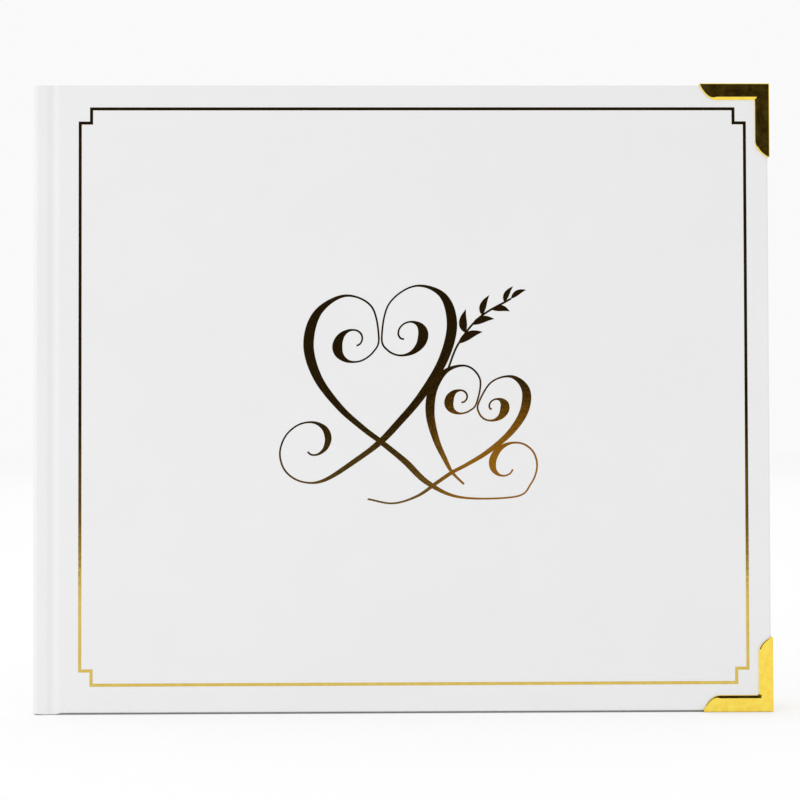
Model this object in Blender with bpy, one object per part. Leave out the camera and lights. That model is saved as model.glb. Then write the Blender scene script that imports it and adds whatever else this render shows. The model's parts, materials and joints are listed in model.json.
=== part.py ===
"""A wedding guest book, closed and standing upright.

It is a hard case with four metal cover corners around a sewn block of leaves. +X runs from the
spine to the fore-edge, +Z up the height, and the front cover faces -Y. The origin is under the
middle of the book, on the surface that it stands on.
"""

import math

import bmesh
import bpy
from mathutils import Vector

MM = 0.001

# Case: width and height over the covering, and thickness from one cover's face to the other's
CASE_WIDTH = 254 * MM
CASE_HEIGHT = 216 * MM
CASE_THICKNESS = 23 * MM
BOARD_THICKNESS = 2.1 * MM
COVERING = 0.4 * MM
TURN_IN = 14 * MM
GLUE_LINE = 0.1 * MM
EDGE_ROUNDING = 0.3 * MM

# Joint: the groove between the spine and each cover, measured from the spine's outer face
SPINE_SHOULDER = 6.3 * MM
HINGE_INSET = 7.9 * MM
COVER_INSET = 9.3 * MM
HINGE_PROUD = 0.3 * MM
GROOVE_DEPTH = 0.8 * MM
JOINT_GAP = 0.3 * MM

# Metal corners: a folded sheet with an L on the cover's face and a narrow lip behind it
METAL = 0.5 * MM
METAL_PROUD = METAL + GLUE_LINE
CORNER_LEG_X = 24.1 * MM
CORNER_LEG_Z = 25.6 * MM
CORNER_LEG_WIDTH = 5.2 * MM
CORNER_LIP = 3.2 * MM
CORNER_ARC_STEPS = 6

# Leaves: sewn sections, a flyleaf at each end, and a pastedown on each board
SQUARE = 3 * MM
SECTIONS = 18
SECTION_THICKNESS = 0.75 * MM
SECTION_PITCH = 0.85 * MM
ENDPAPER = 0.2 * MM
FLYLEAF_DEPTH = 7.85 * MM
PASTEDOWN_DEPTH = 8.2 * MM
PASTEDOWN_INSET = 3.2 * MM
LEAF_HINGE_INSET = 10.5 * MM
FOLD_RADIUS = 0.1 * MM
FOLD_TAPER = 5 * MM

# Binding behind the leaves
SPINE_BOARD_THICKNESS = 2.2 * MM
LINING = 0.3 * MM
LINING_INSET = 3.6 * MM
LINING_SHORT = 10 * MM
GUTTER_INSET = 4.2 * MM
BAND_RADIUS = 0.7 * MM
BAND_INSET = 4.4 * MM

# Foil line around the front cover, with a stepped corner
FOIL_WIDTH = 1.05 * MM
FOIL_THICKNESS = 0.08 * MM
FOIL_STEP_X = 3.9 * MM
FOIL_STEP_Z = 4.9 * MM
FOIL_LEFT = 15.7 * MM
FOIL_RIGHT = 7.6 * MM
FOIL_TOP = 7.7 * MM
FOIL_BOTTOM = 9.0 * MM

# Where things are: the metal corners stand proud of the case at the fore-edge, the head and the tail
SPINE_X = -(CASE_WIDTH + METAL_PROUD) / 2
FORE_X = SPINE_X + CASE_WIDTH
TAIL_Z = METAL_PROUD
HEAD_Z = TAIL_Z + CASE_HEIGHT
MIDDLE_Z = (TAIL_Z + HEAD_Z) / 2
FACE_DEPTH = CASE_THICKNESS / 2
BOARD_DEPTH = FACE_DEPTH - COVERING - GLUE_LINE
INNER_DEPTH = BOARD_DEPTH - BOARD_THICKNESS - GLUE_LINE - COVERING
LEAF_X = SPINE_X + LEAF_HINGE_INSET
LEAF_LENGTH = FORE_X - SQUARE - LEAF_X
LEAF_TAIL_Z = TAIL_Z + SQUARE
LEAF_HEAD_Z = HEAD_Z - SQUARE
FRONT, BACK = -1, 1
REACH = 60 * MM

# Finishes: colour, roughness, metallic
LEATHERETTE = ((0.80, 0.80, 0.80), 0.5, 0.0)
GREYBOARD = ((0.36, 0.33, 0.28), 0.9, 0.0)
PAPER = ((0.86, 0.85, 0.81), 0.8, 0.0)
GAUZE = ((0.75, 0.74, 0.70), 0.9, 0.0)
BAND_SILK = ((0.85, 0.82, 0.72), 0.6, 0.0)
GOLD_METAL = ((0.83, 0.62, 0.22), 0.15, 1.0)
GOLD_FOIL = ((0.80, 0.58, 0.20), 0.25, 1.0)


def new_collection(name):
    collection = bpy.data.collections.new(name)
    bpy.context.scene.collection.children.link(collection)
    return collection


def clear_scene():
    for item in list(bpy.data.objects):
        bpy.data.objects.remove(item, do_unlink=True)


def give_finish(piece, finish):
    colour, roughness, metallic = finish
    material = bpy.data.materials.new(piece.name)
    material.use_nodes = True
    shader = material.node_tree.nodes["Principled BSDF"]
    shader.inputs["Base Color"].default_value = (*colour, 1)
    shader.inputs["Roughness"].default_value = roughness
    shader.inputs["Metallic"].default_value = metallic
    piece.data.materials.append(material)


def place(piece, centre, finish, parent):
    """Puts a piece in the book at a world position, under its hinge if it has one."""
    book.objects.link(piece)
    piece.location = centre
    if parent:
        piece.parent = parent
        piece.location = centre - parent.location
    give_finish(piece, finish)


def hinge_empty(name, x, y):
    """An empty on a vertical hinge line, which the pieces of one moving body hang from."""
    empty = bpy.data.objects.new(name, None)
    empty.location = (x, y, MIDDLE_Z)
    book.objects.link(empty)
    return empty


def box_mesh(name, size, rounding):
    shape = bmesh.new()
    bmesh.ops.create_cube(shape, size=1)
    bmesh.ops.scale(shape, vec=size, verts=shape.verts)
    if rounding:
        bmesh.ops.bevel(shape, geom=shape.edges, offset=rounding, segments=2, affect="EDGES", profile=0.5)
    mesh = bpy.data.meshes.new(name)
    shape.to_mesh(mesh)
    shape.free()
    return mesh


def box_object(name, x, y, z, rounding):
    """An unlinked box over three ranges given in either order, and its centre."""
    low = Vector((min(x), min(y), min(z)))
    high = Vector((max(x), max(y), max(z)))
    piece = bpy.data.objects.new(name, box_mesh(name, high - low, rounding))
    return piece, (low + high) / 2


def box(name, x, y, z, finish, parent=None, rounding=0.0):
    piece, centre = box_object(name, x, y, z, rounding)
    place(piece, centre, finish, parent)
    return piece


def cut_box(piece, name, x, y, z):
    """Takes a box out of a piece, and keeps the cutter in its own collection."""
    cutter, centre = box_object(name, x, y, z, 0)
    cutters.objects.link(cutter)
    cutter.location = centre
    cutter.hide_render = True
    cutter.display_type = "WIRE"
    cut = piece.modifiers.new(name, "BOOLEAN")
    cut.operation = "DIFFERENCE"
    cut.solver = "EXACT"
    cut.object = cutter


def outline_curve(name, outlines, thickness):
    """A flat plate from closed outlines in the curve's own XY plane; an outline inside another is a hole."""
    curve = bpy.data.curves.new(name, "CURVE")
    curve.dimensions = "2D"
    curve.fill_mode = "BOTH"
    curve.extrude = thickness / 2
    for outline in outlines:
        spline = curve.splines.new("POLY")
        spline.points.add(len(outline) - 1)
        for point, (u, v) in zip(spline.points, outline):
            point.co = (u, v, 0, 1)
        spline.use_cyclic_u = True
    return bpy.data.objects.new(name, curve)


def as_mesh(curve):
    """The curve's plate as a welded mesh, which a Boolean can cut."""
    bpy.context.view_layer.update()
    graph = bpy.context.evaluated_depsgraph_get()
    mesh = bpy.data.meshes.new_from_object(curve.evaluated_get(graph))
    shape = bmesh.new()
    shape.from_mesh(mesh)
    bmesh.ops.remove_doubles(shape, verts=shape.verts, dist=0.001 * MM)
    bmesh.ops.recalc_face_normals(shape, faces=shape.faces)
    shape.to_mesh(mesh)
    shape.free()
    piece = bpy.data.objects.new(curve.name, mesh)
    piece.matrix_world = curve.matrix_world
    bpy.data.objects.remove(curve, do_unlink=True)
    return piece


def cover_board(prefix, side, hinge):
    box(
        f"{prefix}_board",
        (SPINE_X + COVER_INSET + GLUE_LINE, FORE_X - COVERING - GLUE_LINE),
        (side * BOARD_DEPTH, side * (BOARD_DEPTH - BOARD_THICKNESS)),
        (TAIL_Z + COVERING + GLUE_LINE, HEAD_Z - COVERING - GLUE_LINE),
        GREYBOARD,
        hinge,
        EDGE_ROUNDING,
    )


def cover_wrap(prefix, side, hinge):
    """The covering over one board, turned in behind it at the head, the tail and the fore-edge."""
    wrap = box(
        f"{prefix}_cover_wrap",
        (SPINE_X + COVER_INSET, FORE_X),
        (side * FACE_DEPTH, side * INNER_DEPTH),
        (TAIL_Z, HEAD_Z),
        LEATHERETTE,
        hinge,
        EDGE_ROUNDING,
    )
    cut_box(
        wrap,
        f"{prefix}_board_pocket",
        (SPINE_X, FORE_X - COVERING),
        (side * (FACE_DEPTH - COVERING), side * (INNER_DEPTH + COVERING)),
        (TAIL_Z + COVERING, HEAD_Z - COVERING),
    )
    cut_box(
        wrap,
        f"{prefix}_turn_in_window",
        (SPINE_X, FORE_X - TURN_IN),
        (side * (FACE_DEPTH - 2 * COVERING), 0),
        (TAIL_Z + TURN_IN, HEAD_Z - TURN_IN),
    )


def pastedown(prefix, side, hinge):
    box(
        f"{prefix}_pastedown",
        (SPINE_X + COVER_INSET + JOINT_GAP, FORE_X - PASTEDOWN_INSET),
        (side * (PASTEDOWN_DEPTH + ENDPAPER / 2), side * (PASTEDOWN_DEPTH - ENDPAPER / 2)),
        (TAIL_Z + PASTEDOWN_INSET, HEAD_Z - PASTEDOWN_INSET),
        PAPER,
        hinge,
    )


def corner_outline(inward):
    """The L of a corner, from its outer corner at the origin; inward is +1 at the tail and -1 at the head."""
    steps = [math.radians(90 * i / CORNER_ARC_STEPS) for i in range(CORNER_ARC_STEPS + 1)]
    width = CORNER_LEG_WIDTH
    along_edge = [(CORNER_LEG_X - width + width * math.cos(a), width * math.sin(a)) for a in steps]
    up_edge = [(width * math.cos(a), CORNER_LEG_Z - width + width * math.sin(a)) for a in steps]
    points = [(0, 0), *along_edge, (width, width), *up_edge]
    return [(-u, inward * v) for u, v in points]


def metal_corner(prefix, side, end, hinge):
    """One folded corner: the L on the face, walls on the two board edges, and a lip behind the board."""
    inward = 1 if end == "bottom" else -1
    outer_z = TAIL_Z - METAL_PROUD if end == "bottom" else HEAD_Z + METAL_PROUD
    outer_x = FORE_X + METAL_PROUD
    outer_depth = FACE_DEPTH + METAL_PROUD
    lip_depth = INNER_DEPTH - METAL_PROUD
    name = f"{prefix}_{end}_corner"
    curve = outline_curve(name, [corner_outline(inward)], outer_depth - lip_depth)
    bpy.context.scene.collection.objects.link(curve)
    curve.rotation_euler = (math.pi / 2, 0, 0)
    corner = as_mesh(curve)
    corner.name = name
    corner.rotation_euler = (math.pi / 2, 0, 0)
    place(corner, Vector((outer_x, side * (outer_depth + lip_depth) / 2, outer_z)), GOLD_METAL, hinge)
    cut_box(
        corner,
        f"{name}_pocket",
        (outer_x - METAL, outer_x - REACH),
        (side * (outer_depth - METAL), side * (lip_depth + METAL)),
        (outer_z + inward * METAL, outer_z + inward * REACH),
    )
    cut_box(
        corner,
        f"{name}_lip_trim",
        (outer_x - CORNER_LIP, outer_x - REACH),
        (side * FACE_DEPTH, 0),
        (outer_z + inward * CORNER_LIP, outer_z + inward * REACH),
    )


def foil_outline(inset):
    """The stepped rectangle of the foil line, moved in by an inset, in world X and Z."""
    left = SPINE_X + FOIL_LEFT + inset
    right = FORE_X - FOIL_RIGHT - inset
    bottom = TAIL_Z + FOIL_BOTTOM + inset
    top = HEAD_Z - FOIL_TOP - inset
    corners = [(left, bottom, 1, 1), (right, bottom, -1, 1), (right, top, -1, -1), (left, top, 1, -1)]
    points = []
    for index, (x, z, toward_x, toward_z) in enumerate(corners):
        step_x = x + toward_x * FOIL_STEP_X
        step_z = z + toward_z * FOIL_STEP_Z
        stair = [(x, step_z), (step_x, step_z), (step_x, z)]
        points += stair if index % 2 == 0 else stair[::-1]
    return points


def foil_border(hinge):
    curve = outline_curve("foil_border", [foil_outline(0), foil_outline(FOIL_WIDTH)], FOIL_THICKNESS)
    curve.rotation_euler = (math.pi / 2, 0, 0)
    depth = FACE_DEPTH + GLUE_LINE + FOIL_THICKNESS / 2
    place(curve, Vector((0, FRONT * depth, 0)), GOLD_FOIL, hinge)


def cover(prefix, side):
    """One cover of the case, on its hinge line in the groove."""
    hinge = hinge_empty(f"{prefix}_cover_hinge", SPINE_X + HINGE_INSET, side * (FACE_DEPTH + HINGE_PROUD))
    cover_board(prefix, side, hinge)
    cover_wrap(prefix, side, hinge)
    pastedown(prefix, side, hinge)
    for end in ("top", "bottom"):
        metal_corner(prefix, side, end, hinge)
    if side == FRONT:
        foil_border(hinge)


def joint_strip(prefix, side):
    """The covering at the bottom of the groove, which bends when its cover opens."""
    outer = FACE_DEPTH - GROOVE_DEPTH
    box(
        f"{prefix}_joint_strip",
        (SPINE_X + SPINE_SHOULDER + JOINT_GAP, SPINE_X + COVER_INSET - JOINT_GAP),
        (side * outer, side * (outer - COVERING)),
        (TAIL_Z, HEAD_Z),
        LEATHERETTE,
    )


def spine_wrap():
    """The covering round the spine board, turned in at the head and the tail, with a shoulder each side."""
    inner_x = SPINE_X + COVERING + 2 * GLUE_LINE + SPINE_BOARD_THICKNESS
    inner_depth = FACE_DEPTH - COVERING
    shoulder_x = SPINE_X + SPINE_SHOULDER
    wrap = box(
        "spine_wrap",
        (SPINE_X, shoulder_x),
        (-FACE_DEPTH, FACE_DEPTH),
        (TAIL_Z, HEAD_Z),
        LEATHERETTE,
        rounding=EDGE_ROUNDING,
    )
    board_z = (TAIL_Z + COVERING, HEAD_Z - COVERING)
    cut_box(wrap, "spine_board_pocket", (SPINE_X + COVERING, inner_x), (-inner_depth, inner_depth), board_z)
    cut_box(
        wrap,
        "spine_turn_in_window",
        (inner_x - GLUE_LINE, shoulder_x),
        (-inner_depth, inner_depth),
        (TAIL_Z + TURN_IN, HEAD_Z - TURN_IN),
    )
    cut_box(
        wrap,
        "spine_hollow",
        (inner_x + COVERING, shoulder_x + REACH),
        (-inner_depth, inner_depth),
        (TAIL_Z - REACH, HEAD_Z + REACH),
    )


def spine_board():
    near_x = SPINE_X + COVERING + GLUE_LINE
    half_width = FACE_DEPTH - COVERING - GLUE_LINE
    box(
        "spine_board",
        (near_x, near_x + SPINE_BOARD_THICKNESS),
        (-half_width, half_width),
        (TAIL_Z + COVERING + GLUE_LINE, HEAD_Z - COVERING - GLUE_LINE),
        GREYBOARD,
        rounding=EDGE_ROUNDING,
    )


def block_half_thickness():
    return (SECTIONS - 1) * SECTION_PITCH / 2 + SECTION_THICKNESS / 2


def binding():
    """The lined and glued spine edge of the leaves, and the woven bands at its head and tail."""
    half = block_half_thickness()
    lining_x = SPINE_X + LINING_INSET
    lining_z = (LEAF_TAIL_Z + LINING_SHORT, LEAF_HEAD_Z - LINING_SHORT)
    box("spine_lining", (lining_x, lining_x + LINING), (-half, half), lining_z, GAUZE)
    gutter_x = (SPINE_X + GUTTER_INSET, LEAF_X - JOINT_GAP)
    box("sewn_gutter", gutter_x, (-half, half), (LEAF_TAIL_Z, LEAF_HEAD_Z), PAPER)
    woven_band("head_band", LEAF_HEAD_Z + BAND_RADIUS + GLUE_LINE)
    woven_band("tail_band", LEAF_TAIL_Z - BAND_RADIUS - GLUE_LINE)


def woven_band(name, z):
    shape = bmesh.new()
    bmesh.ops.create_cone(
        shape,
        cap_ends=True,
        segments=16,
        radius1=BAND_RADIUS,
        radius2=BAND_RADIUS,
        depth=2 * block_half_thickness(),
    )
    mesh = bpy.data.meshes.new(name)
    shape.to_mesh(mesh)
    shape.free()
    mesh.shade_smooth()
    mesh.set_sharp_from_angle(angle=math.radians(40))
    band = bpy.data.objects.new(name, mesh)
    band.rotation_euler = (math.pi / 2, 0, 0)
    place(band, Vector((SPINE_X + BAND_INSET, 0, z)), BAND_SILK, None)


def leaf_outline(thickness):
    """A folded section seen from the head: thin at the fold, on the origin, and full a little way out."""
    half = thickness / 2
    fold_angles = [math.radians(90 + 180 * i / 6) for i in range(7)]
    fold = [(FOLD_RADIUS * math.cos(a), FOLD_RADIUS * math.sin(a)) for a in fold_angles]
    return [*fold, (FOLD_TAPER, -half), (LEAF_LENGTH, -half), (LEAF_LENGTH, half), (FOLD_TAPER, half)]


def leaf(name, y, thickness):
    """One section or flyleaf, on an empty along its fold."""
    fold = hinge_empty(f"{name}_fold", LEAF_X, y)
    curve = outline_curve(name, [leaf_outline(thickness)], LEAF_HEAD_Z - LEAF_TAIL_Z)
    place(curve, Vector((LEAF_X, y, MIDDLE_Z)), PAPER, fold)


def leaves():
    leaf("front_flyleaf", FRONT * FLYLEAF_DEPTH, ENDPAPER)
    for index in range(SECTIONS):
        y = (index - (SECTIONS - 1) / 2) * SECTION_PITCH
        leaf(f"leaf_section_{index + 1:02d}", y, SECTION_THICKNESS)
    leaf("back_flyleaf", BACK * FLYLEAF_DEPTH, ENDPAPER)


clear_scene()
book = new_collection("wedding_guest_book")
cutters = new_collection("cutters")
cover("front", FRONT)
cover("back", BACK)
joint_strip("front", FRONT)
joint_strip("back", BACK)
spine_wrap()
spine_board()
binding()
leaves()
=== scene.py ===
"""The looks of the wedding guest book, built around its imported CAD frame.

+X runs from the spine to the fore-edge, +Z up the book, and the front cover faces -Y. Depths are
distances from the middle of the book towards a cover's outer face, so one function makes both sides.
"""

import json
import math
import random

import bmesh
import bpy
from mathutils import Matrix, Vector
from mathutils.geometry import delaunay_2d_cdt, intersect_point_quad_2d

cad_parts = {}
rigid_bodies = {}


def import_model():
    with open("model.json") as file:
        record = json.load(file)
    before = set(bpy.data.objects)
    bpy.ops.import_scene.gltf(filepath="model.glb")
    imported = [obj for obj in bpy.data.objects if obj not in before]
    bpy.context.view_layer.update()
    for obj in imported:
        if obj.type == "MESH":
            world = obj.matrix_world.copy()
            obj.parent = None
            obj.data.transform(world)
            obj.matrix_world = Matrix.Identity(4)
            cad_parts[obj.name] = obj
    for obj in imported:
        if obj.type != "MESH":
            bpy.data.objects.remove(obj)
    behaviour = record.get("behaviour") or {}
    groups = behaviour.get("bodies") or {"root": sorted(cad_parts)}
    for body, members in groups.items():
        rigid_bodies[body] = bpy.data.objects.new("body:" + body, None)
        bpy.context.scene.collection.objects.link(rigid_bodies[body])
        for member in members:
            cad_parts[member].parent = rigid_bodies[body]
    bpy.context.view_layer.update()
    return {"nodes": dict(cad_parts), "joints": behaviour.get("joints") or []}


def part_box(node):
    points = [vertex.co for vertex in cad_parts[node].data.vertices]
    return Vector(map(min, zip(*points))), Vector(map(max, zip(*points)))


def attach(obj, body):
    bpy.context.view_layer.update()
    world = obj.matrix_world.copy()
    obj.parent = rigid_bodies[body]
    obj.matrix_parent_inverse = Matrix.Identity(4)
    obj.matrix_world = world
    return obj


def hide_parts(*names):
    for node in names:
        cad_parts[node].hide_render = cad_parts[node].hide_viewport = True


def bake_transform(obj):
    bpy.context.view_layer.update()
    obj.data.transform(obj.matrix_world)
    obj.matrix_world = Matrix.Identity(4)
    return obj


MM = 0.001
FRONT, BACK = -1, 1
SIDES = (("front", FRONT), ("back", BACK))

# Covering: one sheet over the boards, round the spine and down into the two grooves
SHEET = 0.8 * MM
SPINE_ROUNDING = 1.9 * MM
SHOULDER_END = 4.4 * MM
GROOVE_END = 9.4 * MM
GROOVE_DEPTH = 0.5 * MM
GROOVE_STEPS = 16
BOARD_EDGE_INSET = 9.0 * MM
FORE_EDGE_ROUNDING = 0.9 * MM
INNER_ROUNDING = 0.35 * MM
HEAD_ROUNDING = 0.75 * MM
THIN_ROUNDING = 0.3 * MM
ARC_STEPS = 6
MITRE_LIMIT = 0.5
SPINE_DROOP = 0.42 * MM
DROOP_START = 7.7 * MM
DROOP_END = 9.3 * MM

# Metal corners: a stamped face with a sloping inner edge, folded round the board
METAL_FACE = 0.6 * MM
METAL_CLEARANCE = 0.04 * MM
CORNER_BEVEL = 1.05 * MM
CORNER_TIP_BEVEL = 0.42 * MM
CORNER_CUT = 0.14 * MM
BEVEL_SLOPE = 0.44
BEVEL_TAPER = 2.2
CORNER_ROUNDING = 0.45 * MM
CORNER_ARC_STEPS = 4
CORNER_FILLET = 0.6 * MM
FILLET_STEPS = 5
CORNER_WIDTH_ALONG = 5.8 * MM
CORNER_WIDTH_UP = 5.1 * MM
CORNER_TIP_LENGTH = 5.7 * MM
CORNER_TIP_SWEEP = 50
CORNER_TIP_STEPS = 14
LIP_WIDTH = 3.0 * MM

# Foil
FOIL_RAISE = 0.03 * MM
FOIL_SINK = 0.02 * MM
FOIL_LINE = 1.05 * MM
FOIL_STEP_X = 3.9 * MM
FOIL_STEP_Z = 4.9 * MM
MERGE_DISTANCE = 0.0005 * MM

# Ornament: its centre on the cover, and the pen, in millimetres, that draws it
ORNAMENT_FROM_SPINE = 132 * MM
ORNAMENT_FROM_HEAD = 107.5 * MM
HAIRLINE = 0.62
LARGE_STROKE = 3.7
SMALL_STROKE = 3.3
PRESSURE = 1.8
END_TAPER = 5
SLANT = 0.14
PEN_STEPS = 10
LEAF_STEPS = 14
LEAF_BOW = 0.12
LEAF_FULLNESS = 0.8
LEAF_ANGLE = 38
LARGEST_LEAF = 1.1
LEAF_SHRINK = 0.5
LAST_LEAF = 0.6
BARE_STEM = 3
STEM_WIDTH = 1.2 * HAIRLINE
TRIANGLES_INSIDE = 1
UNITE_DISTANCE = 0.002

# Materials: the part of a noise field's 0 to 1 that is used
FIELD_MIDDLE = (0.3, 0.7)
COLOUR_STOPS = (0.35, 0.65)

# Leaves
LEAF = 0.172 * MM
LEAF_BEND = 4.5 * MM
BEND_STEPS = 12
FOLD_STEPS = 6
LEAST_RADIUS = 0.001 * MM
PASTEDOWN = 0.18 * MM
UNEVEN_REACH = 0.12 * MM
UNEVEN_HEIGHT = 0.06 * MM

# Hidden spine parts
BAND_STEPS = 120
BAND_TURNS = 22
BAND_SIDES = 12
BAND_RIPPLE = 0.14
GLUE_FOLD = 0.25 * MM
GLUE_FOLDS = 60
GLUE_INSET = 0.3 * MM

# Studio: distances in metres, angles in degrees
LENS = 89.94
SENSOR = 36
CAMERA_PLACE = (-0.011, -0.7, 0.0912)
CAMERA_YAW = -0.83
CAMERA_PITCH = 1.37
CAMERA_ROLL = 0.155
ROOM_LIGHT = 0.97
BACKDROP_LIGHT = 0.952
FLOOR_SIZE = 60
# The floor's glow, painted light, and the distances over which it fades
FLOOR_FADE = (0.6 / FLOOR_SIZE, 9 / FLOOR_SIZE)
FLOOR_GLOW = (0.41, 0.36)
# Painted contact shadow under the book: how far the floor's occlusion mask looks, and the occlusion over
# which its glow comes back
CONTACT_SHADOW_REACH = 0.006
CONTACT_SHADOW_OPENNESS = (0.15, 0.48)
WHITE = (1, 1, 1, 1)
# Painted reflections: the mottle and the shades of the glowing cards that only reflections see
REFLECTION_MOTTLE_SCALE = 130
DIM_REFLECTION_MOTTLE = (0.25, 0.2, 0.15)
BRIGHT_REFLECTION_MOTTLE = (1.9, 2.0, 2.3)
DARK_ROOM_REFLECTION = (0.02, 0.0145, 0.014)
ROOM_FLOOR_REFLECTION = (0.42, 0.33, 0.2)
SKIRTING_REFLECTION = (0.16, 0.12, 0.08)
WARM_PATCH_REFLECTION = (0.38, 0.21, 0.055)


# Mesh helpers


def new_piece(name, vertices, faces, material):
    """An object made from vertices and faces, with its normals turned outwards."""
    mesh = bpy.data.meshes.new(name)
    mesh.from_pydata([tuple(v) for v in vertices], [], faces)
    shape = bmesh.new()
    shape.from_mesh(mesh)
    bmesh.ops.recalc_face_normals(shape, faces=shape.faces)
    shape.to_mesh(mesh)
    shape.free()
    piece = bpy.data.objects.new(name, mesh)
    bpy.context.scene.collection.objects.link(piece)
    mesh.materials.append(material)
    return piece


def smooth(piece, degrees=35):
    """Smooth shading with sharp edges over an angle, and large flat faces kept flat."""
    piece.data.shade_smooth()
    piece.data.set_sharp_from_angle(angle=math.radians(degrees))
    weighted = piece.modifiers.new("weighted_normals", "WEIGHTED_NORMAL")
    weighted.keep_sharp = True
    return piece


def joined_rings(rings):
    """Faces between successive closed rings that all have the same number of points."""
    count = len(rings[0])
    vertices = [point for ring in rings for point in ring]
    faces = []
    for r in range(len(rings) - 1):
        for i in range(count):
            j = (i + 1) % count
            faces.append((r * count + i, r * count + j, (r + 1) * count + j, (r + 1) * count + i))
    return vertices, faces


def loft(name, rings, material):
    """A closed solid through rings of points, with a flat cap at each end."""
    vertices, faces = joined_rings(rings)
    count = len(rings[0])
    last = (len(rings) - 1) * count
    faces.append(tuple(range(count)))
    faces.append(tuple(range(last, last + count)))
    return new_piece(name, vertices, faces, material)


def arc(centre, radius, start, end, steps):
    """Points on a circle, from one angle to another, in degrees."""
    angles = [math.radians(start + (end - start) * i / steps) for i in range(steps + 1)]
    return [(centre[0] + radius * math.cos(a), centre[1] + radius * math.sin(a)) for a in angles]


# Materials


def node(material, kind, **settings):
    """A new shader node with the given settings."""
    made = material.node_tree.nodes.new(kind)
    for name, value in settings.items():
        setattr(made, name, value)
    return made


def link(material, source, target):
    material.node_tree.links.new(source, target)


def surface(name, colour, roughness, metallic=0.0):
    """A plain material and its shader."""
    material = bpy.data.materials.new(name)
    material.use_nodes = True
    shader = material.node_tree.nodes["Principled BSDF"]
    shader.inputs["Base Color"].default_value = (*colour, 1)
    shader.inputs["Roughness"].default_value = roughness
    shader.inputs["Metallic"].default_value = metallic
    return material, shader


def object_place(material, stretch=(1, 1, 1)):
    """Where a point is on its object, in metres, stretched along each axis."""
    place = node(material, "ShaderNodeTexCoord")
    mapping = node(material, "ShaderNodeMapping")
    mapping.inputs["Scale"].default_value = stretch
    link(material, place.outputs["Object"], mapping.inputs["Vector"])
    return mapping.outputs["Vector"]


def noise(material, scale, detail=3.0, stretch=(1, 1, 1)):
    """A noise field with features of about 1 / scale metres."""
    field = node(material, "ShaderNodeTexNoise")
    field.inputs["Scale"].default_value = scale
    field.inputs["Detail"].default_value = detail
    link(material, object_place(material, stretch), field.inputs["Vector"])
    return field.outputs["Fac"]


def ranged(material, value, given, wanted, **settings):
    """A value mapped from one range to another, each given as a pair."""
    ramp = node(material, "ShaderNodeMapRange", **settings)
    ramp.inputs["From Min"].default_value, ramp.inputs["From Max"].default_value = given
    ramp.inputs["To Min"].default_value, ramp.inputs["To Max"].default_value = wanted
    link(material, value, ramp.inputs["Value"])
    return ramp.outputs["Result"]


def between(material, field, low, high):
    """The field's middle range stretched to run from low to high."""
    return ranged(material, field, FIELD_MIDDLE, (low, high))


def mixed_colour(material, field, first, second):
    """A colour that runs from the first to the second across the field's middle range."""
    ramp = node(material, "ShaderNodeValToRGB")
    for stop, height, colour in zip(ramp.color_ramp.elements, COLOUR_STOPS, (first, second)):
        stop.position = height
        stop.color = (*colour, 1)
    link(material, field, ramp.inputs["Fac"])
    return ramp.outputs["Color"]


def add_bump(material, shader, height, distance, strength=1.0):
    """Bends the shader's normal by a height field whose full range is a distance in metres."""
    bump = node(material, "ShaderNodeBump")
    bump.inputs["Strength"].default_value = strength
    bump.inputs["Distance"].default_value = distance
    link(material, height, bump.inputs["Height"])
    link(material, bump.outputs["Normal"], shader.inputs["Normal"])


def leatherette():
    """White coated covering: a very fine pebble grain under a satin coat."""
    material, shader = surface("white_leatherette", (0.79, 0.79, 0.794), 0.42)
    shader.inputs["Specular IOR Level"].default_value = 0.4
    tint = noise(material, scale=40, detail=2)
    colour = mixed_colour(material, tint, (0.790, 0.790, 0.794), (0.798, 0.798, 0.801))
    link(material, colour, shader.inputs["Base Color"])
    grain = node(material, "ShaderNodeTexVoronoi", feature="SMOOTH_F1")
    grain.inputs["Scale"].default_value = 2600
    link(material, object_place(material), grain.inputs["Vector"])
    wear = noise(material, scale=700)
    link(material, between(material, wear, low=0.38, high=0.5), shader.inputs["Roughness"])
    add_bump(material, shader, grain.outputs["Distance"], distance=0.02 * MM, strength=0.35)
    return material


def gold(name, colour, roughness, haze, wave_scale, wave_height):
    """Gold-coloured metal with a slight mottle, patches of haze, shallow waves and a polish that varies."""
    material, shader = surface(name, colour, roughness[0], 1.0)
    mottle = noise(material, scale=420)
    patches = noise(material, scale=380, detail=4)
    link(material, between(material, patches, 1 - haze, 1), shader.inputs["Metallic"])
    deep = (0.97 * colour[0], 0.88 * colour[1], 0.8 * colour[2])
    link(material, mixed_colour(material, mottle, deep, colour), shader.inputs["Base Color"])
    polish = noise(material, scale=900, detail=4)
    link(material, between(material, polish, *roughness), shader.inputs["Roughness"])
    waves = noise(material, wave_scale, detail=2)
    add_bump(material, shader, waves, wave_height)
    return material


def paper():
    """Uncoated leaf paper with fibres and a slight mottle."""
    material, shader = surface("leaf_paper", (0.86, 0.85, 0.82), 0.8)
    mottle = noise(material, scale=220, detail=4)
    colour = mixed_colour(material, mottle, (0.855, 0.848, 0.82), (0.868, 0.862, 0.835))
    link(material, colour, shader.inputs["Base Color"])
    fibre = noise(material, scale=1800, detail=5, stretch=(1, 1, 0.35))
    add_bump(material, shader, fibre, distance=0.01 * MM, strength=0.4)
    return material


def greyboard():
    """Pressed board of waste paper, with darker flecks."""
    material, shader = surface("greyboard", (0.36, 0.33, 0.28), 0.9)
    flecks = noise(material, scale=1500, detail=5)
    colour = mixed_colour(material, flecks, (0.28, 0.26, 0.22), (0.45, 0.42, 0.36))
    link(material, colour, shader.inputs["Base Color"])
    add_bump(material, shader, flecks, distance=0.05 * MM)
    return material


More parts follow.
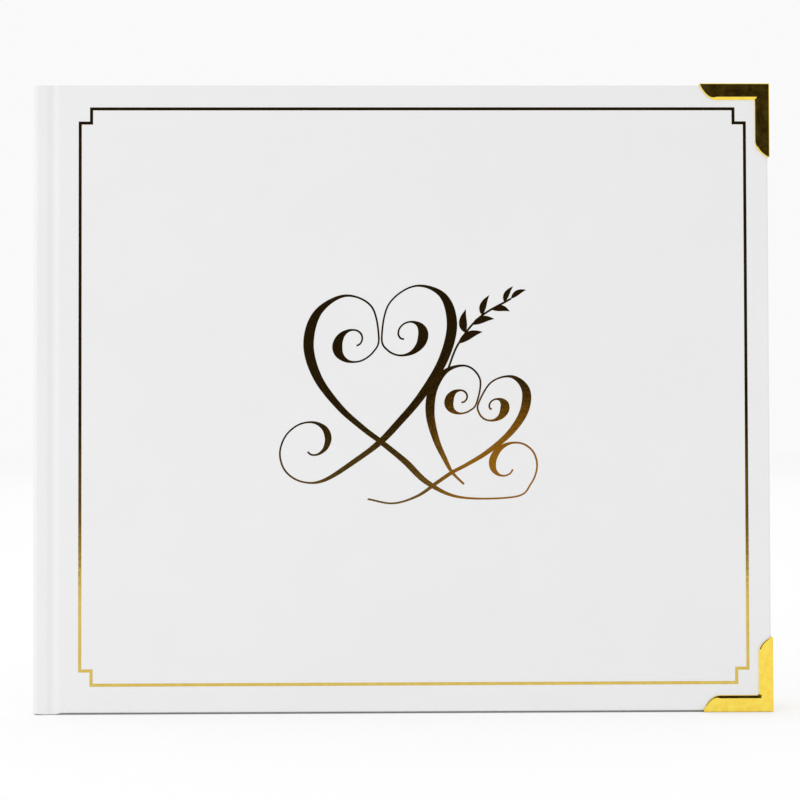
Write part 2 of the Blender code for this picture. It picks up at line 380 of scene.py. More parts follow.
def woven(name, first, second, scale):
    """Two crossing sets of threads, as in gauze or a silk band."""
    material, shader = surface(name, first, 0.65)
    place = node(material, "ShaderNodeTexCoord")
    wave_up = node(material, "ShaderNodeTexWave", bands_direction="Z")
    wave_across = node(material, "ShaderNodeTexWave", bands_direction="Y")
    weave = node(material, "ShaderNodeMath", operation="MULTIPLY")
    for index, wave in enumerate((wave_up, wave_across)):
        wave.inputs["Scale"].default_value = scale
        link(material, place.outputs["Object"], wave.inputs["Vector"])
        link(material, wave.outputs["Fac"], weave.inputs[index])
    link(material, mixed_colour(material, weave.outputs[0], second, first), shader.inputs["Base Color"])
    add_bump(material, shader, weave.outputs[0], distance=0.1 * MM)
    return material


# The book's own measures, read from the frame


def measure_book():
    """The edges and depths that the visual pieces are built to."""
    spine_low, spine_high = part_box("spine_wrap")
    cover_low, cover_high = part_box("front_cover_wrap")
    joints = {joint["name"]: joint for joint in frame["joints"]}
    return {
        "spine_x": spine_low.x,
        "fore_x": cover_high.x,
        "tail": spine_low.z,
        "head": spine_high.z,
        "face": -cover_low.y,
        "inner": -cover_high.y,
        "shoulder_x": spine_high.x,
        "cover_x": cover_low.x,
        "leaf_hinge_x": joints["front_flyleaf_turn"]["pos_m"][0],
    }


# Covering


def groove(x):
    """How far the covering dips at x, measured from the spine's outer face."""
    if not SHOULDER_END < x < GROOVE_END:
        return 0.0
    share = (x - SHOULDER_END) / (GROOVE_END - SHOULDER_END)
    return GROOVE_DEPTH * 0.5 * (1 - math.cos(2 * math.pi * share))


def covering_section():
    """The half section of the case seen from the head, as points (x from the spine, depth, edge rounding).

    The head and tail edges are rounder over a board than where they are only the folded sheet.
    """
    face, inner = book["face"], book["inner"]
    width = book["fore_x"] - book["spine_x"]
    groove_width = GROOVE_END - SHOULDER_END
    grooved = [SHOULDER_END + groove_width * i / GROOVE_STEPS for i in range(GROOVE_STEPS + 1)]
    spine_edge = arc((SPINE_ROUNDING, face - SPINE_ROUNDING), SPINE_ROUNDING, 180, 90, ARC_STEPS)
    fore_centre = (width - FORE_EDGE_ROUNDING, face - FORE_EDGE_ROUNDING)
    fore_outer = arc(fore_centre, FORE_EDGE_ROUNDING, 90, 0, ARC_STEPS)
    inner_centre = (width - INNER_ROUNDING, inner + INNER_ROUNDING)
    fore_inner = arc(inner_centre, INNER_ROUNDING, 0, -90, ARC_STEPS // 2)
    spine_inner_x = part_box("spine_board")[1].x - book["spine_x"] + SHEET / 2
    under = [x for x in grooved[::-1] if x < BOARD_EDGE_INSET - THIN_ROUNDING]
    outline = [(0, 0, HEAD_ROUNDING)]
    outline += [(x, d, HEAD_ROUNDING) for x, d in spine_edge]
    outline += [(x, face - groove(x), THIN_ROUNDING) for x in grooved]
    outline += [(GROOVE_END + SHEET, face, HEAD_ROUNDING)]
    outline += [(x, d, HEAD_ROUNDING) for x, d in fore_outer]
    outline += [(x, d, THIN_ROUNDING) for x, d in fore_inner]
    outline += [(BOARD_EDGE_INSET + THIN_ROUNDING, inner, THIN_ROUNDING)]
    outline += [(BOARD_EDGE_INSET, inner + THIN_ROUNDING, THIN_ROUNDING)]
    outline += [(BOARD_EDGE_INSET, face - SHEET - GROOVE_DEPTH / 2, THIN_ROUNDING)]
    outline += [(x, face - groove(x) - SHEET, THIN_ROUNDING) for x in under]
    outline += [(spine_inner_x + SHEET, face - SHEET, THIN_ROUNDING)]
    outline += [(spine_inner_x, face - 2 * SHEET, THIN_ROUNDING)]
    outline += [(spine_inner_x, 0, THIN_ROUNDING)]
    return outline


def spine_droop(x):
    """How far the spine's tail reaches below the boards' tails, which the corners lift off the table."""
    share = min(1.0, max(0.0, (DROOP_END - x) / (DROOP_END - DROOP_START)))
    return SPINE_DROOP * share * share * (3 - 2 * share)


def inward_normals(outline):
    """The direction into a clockwise outline at each point, scaled so that its edges move in evenly."""
    count = len(outline)
    normals = []
    for i in range(count):
        before, here, after = (Vector(outline[k % count][:2]) for k in (i - 1, i, i + 1))
        first = (here - before).normalized()
        second = (after - here).normalized()
        across = Vector((first.y + second.y, -first.x - second.x)).normalized()
        normals.append(across / max(MITRE_LIMIT, abs(across.x * first.y - across.y * first.x)))
    # the section is mirrored in the plane through the spine's middle, so its cut ends stay in it
    for i in (0, count - 1):
        normals[i] = Vector((normals[i].x / max(MITRE_LIMIT, abs(normals[i].x)), 0))
    return normals


def covering(prefix, side, material):
    """Half of the case's covering."""
    outline = covering_section()
    normals = inward_normals(outline)
    tilt = [90 * i / ARC_STEPS for i in range(ARC_STEPS + 1)]
    rings = []
    for end, sign, angles in (("tail", 1, tilt[::-1]), ("head", -1, tilt)):
        for angle in angles:
            ring = []
            for (x, depth, rounding), normal in zip(outline, normals):
                inset = rounding * (1 - math.cos(math.radians(angle)))
                drop = rounding * (1 - math.sin(math.radians(angle)))
                moved = Vector((x, depth)) + normal * inset
                z = book[end] + sign * drop
                if end == "tail":
                    z -= spine_droop(x)
                ring.append((book["spine_x"] + moved.x, side * moved.y, z))
            rings.append(ring)
    skin = smooth(loft(f"{prefix}_covering", rings, material), degrees=50)
    end = (book["cover_x"], side * book["face"], 0)
    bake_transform(skin)
    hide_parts(f"{prefix}_cover_wrap", f"{prefix}_joint_strip", "spine_wrap")


# Metal corners


def corner_section(width, bevel):
    """A corner's section as points (distance from the outer edge, depth): lip, wall, face, sloping edge."""
    outer = book["face"] + METAL_FACE
    under = book["face"] + METAL_CLEARANCE
    lip = book["inner"] - METAL_FACE
    lip_under = book["inner"] - METAL_CLEARANCE
    wall = METAL_FACE - METAL_CLEARANCE
    lip_width = min(LIP_WIDTH, width - METAL_CLEARANCE)
    points = [(lip_width, lip_under), (lip_width, lip)]
    points += arc((CORNER_ROUNDING, lip + CORNER_ROUNDING), CORNER_ROUNDING, 270, 180, CORNER_ARC_STEPS)
    points += arc((CORNER_ROUNDING, outer - CORNER_ROUNDING), CORNER_ROUNDING, 180, 90, CORNER_ARC_STEPS)
    edge = outer - BEVEL_SLOPE * (bevel - CORNER_CUT) - CORNER_CUT
    points += [(width - bevel, outer), (width - CORNER_CUT, edge + CORNER_CUT)]
    points += [(width, edge), (width, under)]
    points += [(wall, under), (wall, lip_under)]
    return points


def tip_station(share, width):
    """How far along the tip, its width there, and the width of its sloping edge; share runs from 0 to 1.

    The tip's edge is part of an ellipse that leaves the leg's inner edge and meets the outer edge.
    """
    sweep = math.radians(CORNER_TIP_SWEEP)
    narrow = CORNER_ROUNDING + CORNER_TIP_BEVEL
    along = CORNER_TIP_LENGTH * math.sin(sweep * share) / math.sin(sweep)
    closed = (1 - math.cos(sweep * share)) / (1 - math.cos(sweep))
    here = width - (width - narrow) * closed
    taper = max(0.0, 1 - BEVEL_TAPER * share)
    bevel = CORNER_TIP_BEVEL + (CORNER_BEVEL - CORNER_TIP_BEVEL) * taper * taper
    return along, here, bevel


def mitre_rings():
    """Sections that turn from one leg to the other about a point inside the rounded angle."""
    along = corner_section(CORNER_WIDTH_ALONG, CORNER_BEVEL)
    up = corner_section(CORNER_WIDTH_UP, CORNER_BEVEL)
    centre = Vector((CORNER_WIDTH_UP + CORNER_FILLET, CORNER_WIDTH_ALONG + CORNER_FILLET))
    diagonal = math.atan2(centre.x, centre.y)
    turns = [diagonal * i / FILLET_STEPS for i in range(FILLET_STEPS + 1)]
    turns += [diagonal + (math.pi / 2 - diagonal) * i / FILLET_STEPS for i in range(1, FILLET_STEPS + 1)]
    rings = []
    for turn in turns:
        way = Vector((-math.sin(turn), -math.cos(turn)))
        reach = centre.y / math.cos(turn) if turn <= diagonal else centre.x / math.sin(turn)
        ring = []
        for (v, depth), (u, _) in zip(along, up):
            first, second = v / CORNER_WIDTH_ALONG, u / CORNER_WIDTH_UP
            share = first + (second - first) * 2 * turn / math.pi
            place = centre + way * (reach - share * (reach - CORNER_FILLET))
            ring.append((place.x, place.y, depth))
        rings.append(ring)
    return rings


def metal_corner(prefix, side, end, material):
    """A corner swept from the tip of one leg, round the mitre, to the tip of the other."""
    low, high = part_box(f"{prefix}_{end}_corner")
    outer_x = high.x
    outer_z, inward = (low.z, 1) if end == "bottom" else (high.z, -1)
    lengths = {"along": high.x - low.x, "up": high.z - low.z}
    shares = [i / CORNER_TIP_STEPS for i in range(CORNER_TIP_STEPS + 1)]
    rings = []
    for share in shares[::-1]:
        extra, width, bevel = tip_station(share, CORNER_WIDTH_ALONG)
        u = lengths["along"] - CORNER_TIP_LENGTH + extra
        rings.append([(u, v, depth) for v, depth in corner_section(width, bevel)])
    rings += mitre_rings()
    for share in shares:
        extra, width, bevel = tip_station(share, CORNER_WIDTH_UP)
        v = lengths["up"] - CORNER_TIP_LENGTH + extra
        rings.append([(u, v, depth) for u, depth in corner_section(width, bevel)])
    placed = []
    for ring in rings:
        placed.append([(outer_x - u, side * depth, outer_z + inward * v) for u, v, depth in ring])
    corner = smooth(loft(f"{prefix}_{end}_metal_corner", placed, material), degrees=16)
    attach(corner, f"{prefix}_cover")
    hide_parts(f"{prefix}_{end}_corner")


# Foil


def stepped_outline(low, high, inset):
    """The foil line's rectangle with a step at each corner, moved in by an inset, as X and Z."""
    left, right = low.x + inset, high.x - inset
    bottom, top = low.z + inset, high.z - inset
    points = []
    corners = [(left, bottom, 1, 1), (right, bottom, -1, 1), (right, top, -1, -1), (left, top, 1, -1)]
    for index, (x, z, toward_x, toward_z) in enumerate(corners):
        step_x = x + toward_x * FOIL_STEP_X
        step_z = z + toward_z * FOIL_STEP_Z
        stair = [(x, step_z), (step_x, step_z), (step_x, z)]
        points += stair if index % 2 == 0 else stair[::-1]
    return points


def foil_line(material):
    """The stepped line around the front cover, as a thin raised band."""
    low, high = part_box("foil_border")
    outer = stepped_outline(low, high, 0)
    inner = stepped_outline(low, high, FOIL_LINE)
    raised = -book["face"] - FOIL_RAISE
    sunk = -book["face"] + FOIL_SINK
    edges = ((outer, sunk), (outer, raised), (inner, raised), (inner, sunk), (outer, sunk))
    rings = [[(x, y, z) for x, z in outline] for outline, y in edges]
    vertices, faces = joined_rings(rings)
    line = new_piece("foil_line", vertices, faces, material)
    shape = bmesh.new()
    shape.from_mesh(line.data)
    bmesh.ops.remove_doubles(shape, verts=shape.verts, dist=MERGE_DISTANCE)
    bmesh.ops.recalc_face_normals(shape, faces=shape.faces)
    shape.to_mesh(line.data)
    shape.free()
    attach(line, "front_cover")
    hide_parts("foil_border")


# Ornament: two scrolled hearts with pen swashes and a sprig, drawn in millimetres about its own centre


def pen_path(points):
    """A smooth path through the points: a Catmull-Rom spline."""
    first = [2 * points[0][k] - points[1][k] for k in (0, 1)]
    last = [2 * points[-1][k] - points[-2][k] for k in (0, 1)]
    padded = [first, *points, last]
    path = []
    for a, b, c, d in zip(padded, padded[1:], padded[2:], padded[3:]):
        for i in range(PEN_STEPS):
            t = i / PEN_STEPS
            path.append([0.5 * (2 * q + (r - p) * t + (2 * p - 5 * q + 4 * r - s) * t ** 2
                                + (3 * q - p - 3 * r + s) * t ** 3) for p, q, r, s in zip(a, b, c, d)])
    return [*path, points[-1]]


def headings(path):
    """The unit direction of travel at each point of a path."""
    ways = []
    for before, after in zip([path[0], *path], [*path[1:], path[-1]]):
        ways.append((Vector(after) - Vector(before)).normalized())
    return ways


def pen_widths(path, full):
    """A pointed pen: a hairline upwards and sideways, and a swelling stroke where it is drawn down."""
    count = len(path)
    pressed = []
    for i, way in enumerate(headings(path)):
        end = min(1.0, END_TAPER * i / count, END_TAPER * (count - 1 - i) / count)
        pressed.append(HAIRLINE + (full - HAIRLINE) * max(0.0, -way.y) ** PRESSURE * end)
    evened = []
    for i in range(count):
        near = pressed[max(0, i - PEN_STEPS // 2):i + PEN_STEPS // 2 + 1]
        evened.append(sum(near) / len(near))
    return evened


def ribbon(path, widths):
    """Quads along a path with the given width at each point."""
    sides = []
    for point, way, width in zip(path, headings(path), widths):
        across = Vector((-way.y, way.x)) * width / 2
        sides.append((Vector(point) + across, Vector(point) - across))
    return [(l0, l1, r1, r0) for (l0, r0), (l1, r1) in zip(sides, sides[1:])]


def curl(centre, first, last, start, sweep, steps=12):
    """Points along a spiral, from one radius to another."""
    points = []
    for i in range(steps + 1):
        radius = first + (last - first) * i / steps
        angle = math.radians(start + sweep * i / steps)
        points.append((centre[0] + radius * math.cos(angle), centre[1] + radius * math.sin(angle)))
    return points


def turned(points, centre, size, degrees):
    """The points turned, scaled and then moved to a centre."""
    spin = Matrix.Rotation(math.radians(degrees), 2)
    return [Vector(centre) + size * (spin @ Vector(point)) for point in points]


def scrolled_lobe(side):
    """Half of a heart two units wide, drawn from its inner scroll over the top and down to its point."""
    outer = [(-0.12, 0.82), (-0.48, 1.02), (-0.85, 0.84), (-0.98, 0.42)]
    outer += [(-0.86, -0.06), (-0.56, -0.52), (-0.24, -0.86), (0.0, -1.08)]
    return [(side * x, z) for x, z in curl((-0.36, 0.36), 0.07, 0.34, -60, 420) + outer]


def pen_stroke(points, full):
    """A pen's stroke through the points, which swells to its full width where it is drawn down."""
    path = pen_path(points)
    return ribbon(path, pen_widths(path, full))


def sprig_leaf(base, heading, length):
    """A slightly curved, pointed leaf."""
    shares = [i / LEAF_STEPS for i in range(LEAF_STEPS + 1)]
    middle = [(length * t, LEAF_BOW * length * math.sin(math.pi * t)) for t in shares]
    widths = [max(HAIRLINE / 8, length / 3 * math.sin(math.pi * t ** LEAF_FULLNESS)) for t in shares]
    return ribbon(turned(middle, base, 1, heading), widths)


def sprig(stem, leaves, length):
    """A stem with leaves on alternate sides, one spacing apart, that get smaller towards its end.

    The stem is bare for the first spacings, and the last of the leaves sits half a spacing from its end.
    """
    path = pen_path(stem)
    ways = headings(path)
    quads = ribbon(path, [STEM_WIDTH] * len(path))
    spacings = leaves + BARE_STEM - 0.5
    for index in range(leaves):
        share = (index + BARE_STEM) / spacings
        place = int(share * (len(path) - 1))
        side = 1 if index % 2 else -1
        heading = math.degrees(math.atan2(ways[place].y, ways[place].x)) + side * LEAF_ANGLE
        quads += sprig_leaf(path[place], heading, length * (LARGEST_LEAF - LEAF_SHRINK * share))
    heading = math.degrees(math.atan2(ways[-1].y, ways[-1].x))
    return quads + sprig_leaf(path[-1], heading, length * LAST_LEAF)


def ornament_quads():
    """The whole drawing; each heart is a centre, a size and a turn in degrees."""
    large = ((-14, 11), 25, 8)
    small = ((20, -8.5), 17, -13)
    right_swash = [(-1, -22.5), (8, -30), (20, -35)] + curl((35, -24), 11.5, 2.2, -70, 390)
    left_swash = [(-17, -21.5)] + curl((-34, -17), 13.5, 2.4, -62, -410)
    short_tail = [(20.5, -30.5)]
    long_tail = [(11, -30), (5, -34.5), (-3, -37), (-12, -35.5)]
    quads = []
    for side, heart, ending, full in (
        (1, large, right_swash, LARGE_STROKE),
        (-1, large, left_swash, LARGE_STROKE),
        (1, small, short_tail, SMALL_STROKE),
        (-1, small, long_tail, SMALL_STROKE),
    ):
        quads += pen_stroke(turned(scrolled_lobe(side), *heart) + ending, full)
    return quads + sprig([(9.5, 9), (12, 18), (18, 27), (28, 33.5)], leaves=6, length=9.5)


def united(quads):
    """Overlapping quads as one flat sheet of triangles, without the gaps that they enclose."""
    corners = [Vector(corner) for quad in quads for corner in quad]
    faces = [(4 * i, 4 * i + 1, 4 * i + 2, 4 * i + 3) for i in range(len(quads))]
    points, _, triangles, *_ = delaunay_2d_cdt(corners, [], faces, TRIANGLES_INSIDE, UNITE_DISTANCE)
    kept = []
    for triangle in triangles:
        middle = sum((points[corner] for corner in triangle), Vector((0, 0))) / len(triangle)
        if any(intersect_point_quad_2d(middle, *quad) for quad in quads):
            kept.append(triangle)
    used = sorted({corner for triangle in kept for corner in triangle})
    place = {old: new for new, old in enumerate(used)}
    return [points[old] for old in used], [[place[corner] for corner in triangle] for triangle in kept]


def foil_ornament(material):
    """The ornament as one thin plate of foil on the front cover."""
    points, triangles = united(ornament_quads())
    centre_x = book["spine_x"] + ORNAMENT_FROM_SPINE
    centre_z = book["head"] - ORNAMENT_FROM_HEAD
    places = [(centre_x + (p.x + SLANT * p.y) * MM, centre_z + p.y * MM) for p in points]
    count = len(places)
    vertices = [(x, -book["face"] - FOIL_RAISE, z) for x, z in places]
    vertices += [(x, -book["face"] + FOIL_SINK, z) for x, z in places]
    faces = [tuple(face) for face in triangles]
    faces += [tuple(i + count for i in face[::-1]) for face in triangles]
    sides = [(face[k], face[(k + 1) % len(face)]) for face in triangles for k in range(len(face))]
    directed = set(sides)
    faces += [(b, a, a + count, b + count) for a, b in sides if (b, a) not in directed]
    ornament = new_piece("foil_ornament", vertices, faces, material)
    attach(ornament, "front_cover")


# Leaves


def leaf_stations(low, high):
    """X places along a leaf: its ends, and a close row where it bends."""
    hinge = book["leaf_hinge_x"]
    bend = [hinge + LEAF_BEND * (2 * i / BEND_STEPS - 1) for i in range(BEND_STEPS + 1)]
    return [low, *[x for x in bend if low < x < high], high]


def sheet_ring(stations, y, half_gap, reach):
    """The section of a folded sheet: a leaf half_gap to each side of y, and their fold at the gutter."""
    fold_x = stations[0]
    half = LEAF / 2
    out = [(x, y + half_gap + half) for x in stations[:0:-1]]
    outer_arc = arc((half_gap, 0), half_gap + half, 90, 270, FOLD_STEPS)
    outer_fold = [(fold_x + dx, y + dy) for dx, dy in outer_arc]
    back = [(x, y - half_gap - half) for x in stations[1:]]
    inner_back = [(x, y - half_gap + half) for x in stations[:0:-1]]
    inner_radius = max(half_gap - half, LEAST_RADIUS)
    inner_arc = arc((half_gap, 0), inner_radius, 270, 90, FOLD_STEPS)
    inner_fold = [(fold_x + dx, y + dy) for dx, dy in inner_arc]
    inner_out = [(x, y + half_gap - half) for x in stations[1:]]
    ring = out + outer_fold + back + inner_back + inner_fold + inner_out
    return [(min(x, reach), depth) for x, depth in ring]


def leaf_section(index, material, chance):
    """Four leaves as two folded sheets, one inside the other, each cut a hair differently."""
    name = f"leaf_section_{index + 1:02d}"
    low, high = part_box(name)
    y = (low.y + high.y) / 2
    gutter_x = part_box("sewn_gutter")[0].x
    stations = leaf_stations(gutter_x, high.x)
    vertices, faces = [], []
    spread = (high.y - low.y - LEAF) / 2
    for half_gap in (spread, spread / 3):
        reach = high.x - chance.uniform(0, UNEVEN_REACH)
        tail = low.z + chance.uniform(0, UNEVEN_HEIGHT)
        head = high.z - chance.uniform(0, UNEVEN_HEIGHT)
        ring = sheet_ring(stations, y, half_gap, reach)
        base = len(vertices)
        count = len(ring)
        vertices += [(x, depth, tail) for x, depth in ring] + [(x, depth, head) for x, depth in ring]
        faces += [(base + i, base + (i + 1) % count, base + count + (i + 1) % count, base + count + i)
                  for i in range(count)]
        faces += [tuple(range(base, base + count)), tuple(range(base + count, base + 2 * count))]
    sheets = smooth(new_piece(f"{name}_sheets", vertices, faces, material))
    bend_leaf(sheets)
    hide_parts(name)


def bend_leaf(piece):
    """Bakes a leaf's placement into its mesh."""
    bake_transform(piece)


def flat_leaf(name, x_range, z_range, depth, thickness, side, stations, material):
    """One thin leaf with the given X stations."""
    low_z, high_z = z_range
    inner, outer = side * (depth - thickness / 2), side * (depth + thickness / 2)
    xs = [x for x in stations if x_range[0] <= x <= x_range[1]]
    ring = [(x, outer) for x in xs] + [(x, inner) for x in xs[::-1]]
    rings = [[(x, y, z) for x, y in ring] for z in (low_z, high_z)]
    return smooth(loft(name, rings, material))


def flyleaf(prefix, side, material):
    """The free half of the endpaper, glued in at the gutter."""
    name = f"{prefix}_flyleaf"
    low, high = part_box(name)
    depth = abs(low.y + high.y) / 2
    gutter_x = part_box("sewn_gutter")[0].x
    stations = leaf_stations(gutter_x, high.x)
    leaf = flat_leaf(f"{name}_sheet", (gutter_x, high.x), (low.z, high.z), depth, high.y - low.y, side,
                     stations, material)
    bend_leaf(leaf)
    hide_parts(name)


def pastedown(prefix, side, material):
    """The endpaper's other half, glued to the board, with its strip across the joint."""
    low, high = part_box(f"{prefix}_pastedown")
    depth = abs(low.y + high.y) / 2
    start_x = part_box("sewn_gutter")[0].x
    joint = [book["shoulder_x"] + (book["cover_x"] - book["shoulder_x"]) * i / BEND_STEPS
             for i in range(-1, BEND_STEPS + 2)]
    stations = [start_x, *joint, high.x]
    leaf = flat_leaf(f"{prefix}_endpaper", (start_x, high.x), (low.z, high.z), depth, PASTEDOWN, side,
                     stations, material)
    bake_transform(leaf)
    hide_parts(f"{prefix}_pastedown")


# Bands and hidden parts


def woven_band(name, material):
    """A cord wrapped with silk: a tube whose radius ripples with each turn of thread."""
    low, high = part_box(name)
    centre_x, centre_z = (low.x + high.x) / 2, (low.z + high.z) / 2
    radius = (high.z - low.z) / 2
    last_angle = 360 * (BAND_SIDES - 1) / BAND_SIDES
    rings = []
    for i in range(BAND_STEPS + 1):
        y = low.y + (high.y - low.y) * i / BAND_STEPS
        ripple = abs(math.sin(math.pi * BAND_TURNS * i / BAND_STEPS))
        here = radius * (1 - BAND_RIPPLE + BAND_RIPPLE * ripple)
        circle = arc((centre_x, centre_z), here, 0, last_angle, BAND_SIDES - 1)
        rings.append([(x, y, z) for x, z in circle])
    band = smooth(loft(f"{name}_thread", rings, material), degrees=60)
    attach(band, "spine")
    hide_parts(name)


def gutter_glue(material):
    """The glued folds at the spine edge of the leaves, just inside the sheets' own folds."""
    low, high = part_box("sewn_gutter")
    width = (high.y - low.y) / GLUE_FOLDS
    ring = []
    for i in range(GLUE_FOLDS + 1):
        ring.append((low.x - (GLUE_FOLD / 2 if i % 2 else 0), low.y + width * i))
    ring += [(low.x + GLUE_FOLD, high.y), (low.x + GLUE_FOLD, low.y)]
    rings = [[(x, y, z) for x, y in ring] for z in (low.z + GLUE_INSET, high.z - GLUE_INSET)]
    glue = loft("gutter_glue", rings, material)
    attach(glue, "spine")
    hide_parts("sewn_gutter")


def dress_hidden_parts(board, gauze):
    """Materials for the CAD nodes that stay as they are."""
    parts = {"front_board": board, "back_board": board, "spine_board": board, "spine_lining": gauze}
    for name, material in parts.items():
        slots = frame["nodes"][name].data.materials
        slots.clear()
        slots.append(material)


# Studio


def floor():
    """A white table, glowing by its own emission as painted light, that runs on far behind the book and
    dims a little with distance.

    A painted contact shadow: an ambient-occlusion mask shuts its glow off in the narrow gaps under what
    stands on it.
    """
    bpy.ops.mesh.primitive_plane_add(size=1)
    plane = bpy.context.object
    plane.name = "studio_floor"
    plane.scale = (FLOOR_SIZE, FLOOR_SIZE, 1)
    material, shader = surface("studio_floor", (0.6, 0.6, 0.6), 1.0)
    shader.inputs["Specular IOR Level"].default_value = 0
    place = node(material, "ShaderNodeTexCoord")
    reach = node(material, "ShaderNodeVectorMath", operation="LENGTH")
    link(material, place.outputs["Object"], reach.inputs[0])
    glow = ranged(material, reach.outputs["Value"], FLOOR_FADE, FLOOR_GLOW, interpolation_type="SMOOTHSTEP")
    # Painted contact shadow: ambient occlusion dims the floor's glow in the gaps under the book
    contact_shadow = node(material, "ShaderNodeAmbientOcclusion")
    contact_shadow.inputs["Distance"].default_value = CONTACT_SHADOW_REACH
    open_share = ranged(material, contact_shadow.outputs["AO"], CONTACT_SHADOW_OPENNESS, (0, 1))
    glow_strength = node(material, "ShaderNodeMath", operation="MULTIPLY")
    link(material, glow, glow_strength.inputs[0])
    link(material, open_share, glow_strength.inputs[1])
    link(material, glow_strength.outputs[0], shader.inputs["Emission Strength"])
    shader.inputs["Emission Color"].default_value = WHITE
    plane.data.materials.append(material)


def reflection_card(name, size, location, shades):
    """An upright glowing card behind the camera, seen only in reflections: a painted reflection whose light
    changes with height and is mottled by noise.
    """
    bpy.ops.mesh.primitive_plane_add(size=1)
    card = bpy.context.object
    card.name = name
    card.scale = (size[0], size[1], 1)
    card.rotation_euler = (math.pi / 2, 0, 0)
    card.location = location
    material, shader = surface(name, (0, 0, 0), 1.0)
    shader.inputs["Specular IOR Level"].default_value = 0
    shader.inputs["Emission Strength"].default_value = 1
    place = node(material, "ShaderNodeTexCoord")
    split = node(material, "ShaderNodeSeparateXYZ")
    ramp = node(material, "ShaderNodeValToRGB")
    ramp.color_ramp.interpolation = "EASE"
    while len(ramp.color_ramp.elements) < len(shades):
        ramp.color_ramp.elements.new(0.5)
    for stop, (height, colour) in zip(ramp.color_ramp.elements, shades):
        stop.position = height
        stop.color = (*colour, 1)
    link(material, place.outputs["Generated"], split.inputs["Vector"])
    link(material, split.outputs["Y"], ramp.inputs["Fac"])
    # Painted reflection mottle: noise that clouds the card's glow
    reflection_mottle_noise = node(material, "ShaderNodeTexNoise")
    reflection_mottle_noise.inputs["Scale"].default_value = REFLECTION_MOTTLE_SCALE
    link(material, place.outputs["Object"], reflection_mottle_noise.inputs["Vector"])
    mottled_reflection = mixed_colour(material, reflection_mottle_noise.outputs["Fac"], DIM_REFLECTION_MOTTLE, BRIGHT_REFLECTION_MOTTLE)
    tint = node(material, "ShaderNodeMix", data_type="RGBA", blend_type="MULTIPLY")
    tint.inputs["Factor"].default_value = 1
    link(material, ramp.outputs["Color"], tint.inputs["A"])
    link(material, mottled_reflection, tint.inputs["B"])
    link(material, tint.outputs["Result"], shader.inputs["Emission Color"])
    card.data.materials.append(material)
    card.visible_camera = False
    card.visible_diffuse = False
    card.visible_shadow = False


def reflection_cards():
    """Painted reflections: cards that stand for the dark room behind the camera and a warm patch of it low
    on the right, seen only in reflections.
    """
    # Painted reflection of the room's floor, skirting and dark walls
    room_reflection = [(0, ROOM_FLOOR_REFLECTION), (0.03, SKIRTING_REFLECTION), (0.07, DARK_ROOM_REFLECTION)]
    reflection_card("painted_room_reflection", size=(2.8, 1.6), location=(0, -0.78, 0.8), shades=room_reflection)
    # Painted reflection of a warm patch
    warm_reflection = [(0, WARM_PATCH_REFLECTION), (0.6, WARM_PATCH_REFLECTION), (1, DARK_ROOM_REFLECTION)]
    reflection_card("painted_warm_reflection", size=(0.16, 0.14), location=(0.12, -0.775, 0.07), shades=warm_reflection)


def lamp(name, location, target, size, power):
    """A rectangular area light turned to its target."""
    light = bpy.data.lights.new(name, "AREA")
    light.shape = "RECTANGLE"
    light.size, light.size_y = size
    light.energy = power
    holder = bpy.data.objects.new(name, light)
    bpy.context.scene.collection.objects.link(holder)
    holder.location = location
    holder.rotation_euler = (Vector(target) - Vector(location)).to_track_quat("-Z", "Y").to_euler()


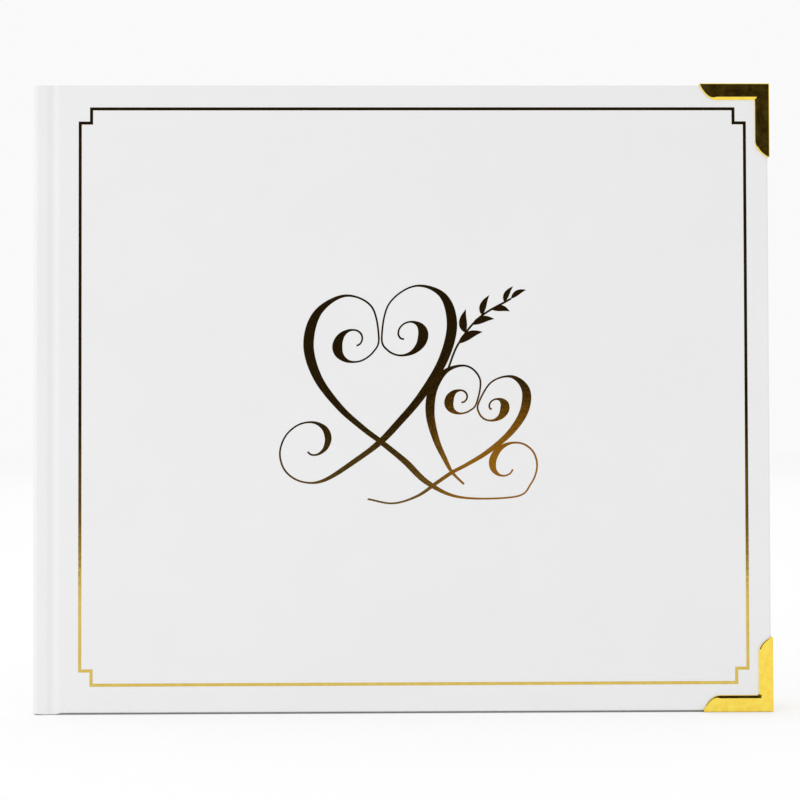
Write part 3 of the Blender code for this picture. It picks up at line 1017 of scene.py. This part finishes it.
def studio_light():
    """An even white room, a little darker to look at than as a light, and one soft lamp on the left."""
    world = bpy.data.worlds.new("studio")
    world.use_nodes = True
    nodes, links = world.node_tree.nodes, world.node_tree.links
    lighting = nodes["Background"]
    lighting.inputs["Color"].default_value = WHITE
    lighting.inputs["Strength"].default_value = ROOM_LIGHT
    backdrop = nodes.new("ShaderNodeBackground")
    backdrop.inputs["Color"].default_value = WHITE
    backdrop.inputs["Strength"].default_value = BACKDROP_LIGHT
    rays = nodes.new("ShaderNodeLightPath")
    mix = nodes.new("ShaderNodeMixShader")
    links.new(rays.outputs["Is Camera Ray"], mix.inputs["Fac"])
    links.new(lighting.outputs["Background"], mix.inputs[1])
    links.new(backdrop.outputs["Background"], mix.inputs[2])
    links.new(mix.outputs["Shader"], nodes["World Output"].inputs["Surface"])
    bpy.context.scene.world = world
    lamp("left_softbox", location=(-1.2, -0.9, 0.25), target=(0, 0, 0.05), size=(0.9, 0.4), power=3.2)
    bpy.context.scene.view_settings.view_transform = "Standard"


def camera():
    """A nearly level camera in front of the cover, a little to the left of its middle."""
    data = bpy.data.cameras.new("camera")
    data.lens = LENS
    data.sensor_width = SENSOR
    holder = bpy.data.objects.new("camera", data)
    bpy.context.scene.collection.objects.link(holder)
    place = Matrix.Translation(CAMERA_PLACE)
    turn = Matrix.Rotation(math.radians(CAMERA_YAW), 4, "Z")
    tilt = Matrix.Rotation(math.radians(CAMERA_PITCH), 4, "X")
    roll = Matrix.Rotation(math.radians(CAMERA_ROLL), 4, "Y")
    upright = Matrix.Rotation(math.pi / 2, 4, "X")
    holder.matrix_world = place @ turn @ tilt @ roll @ upright
    bpy.context.scene.camera = holder


# Making


for item in list(bpy.data.objects):
    bpy.data.objects.remove(item, do_unlink=True)
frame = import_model()
book = measure_book()

camera()
studio_light()
floor()
reflection_cards()

white = leatherette()
leaf_paper = paper()
polished = gold(
    "polished_gold",
    colour=(0.97, 0.75, 0.11),
    roughness=(0.05, 0.1),
    haze=0.034,
    wave_scale=350,
    wave_height=0.08 * MM,
)
stamped = gold(
    "gold_foil",
    colour=(0.68, 0.52, 0.12),
    roughness=(0.06, 0.11),
    haze=0.002,
    wave_scale=600,
    wave_height=0.012 * MM,
)
thread = woven("band_silk", (0.85, 0.82, 0.72), (0.7, 0.66, 0.55), scale=300)
gauze = woven("lining_gauze", (0.75, 0.74, 0.70), (0.6, 0.59, 0.55), scale=120)

chance = random.Random(7)
for prefix, side in SIDES:
    covering(prefix, side, white)
    pastedown(prefix, side, leaf_paper)
    flyleaf(prefix, side, leaf_paper)
    for end in ("top", "bottom"):
        metal_corner(prefix, side, end, polished)
section_count = sum(name.startswith("leaf_section") for name in frame["nodes"])
for index in range(section_count):
    leaf_section(index, leaf_paper, chance)
foil_line(stamped)
foil_ornament(stamped)
for name in ("head_band", "tail_band"):
    woven_band(name, thread)
gutter_glue(leaf_paper)
dress_hidden_parts(greyboard(), gauze)
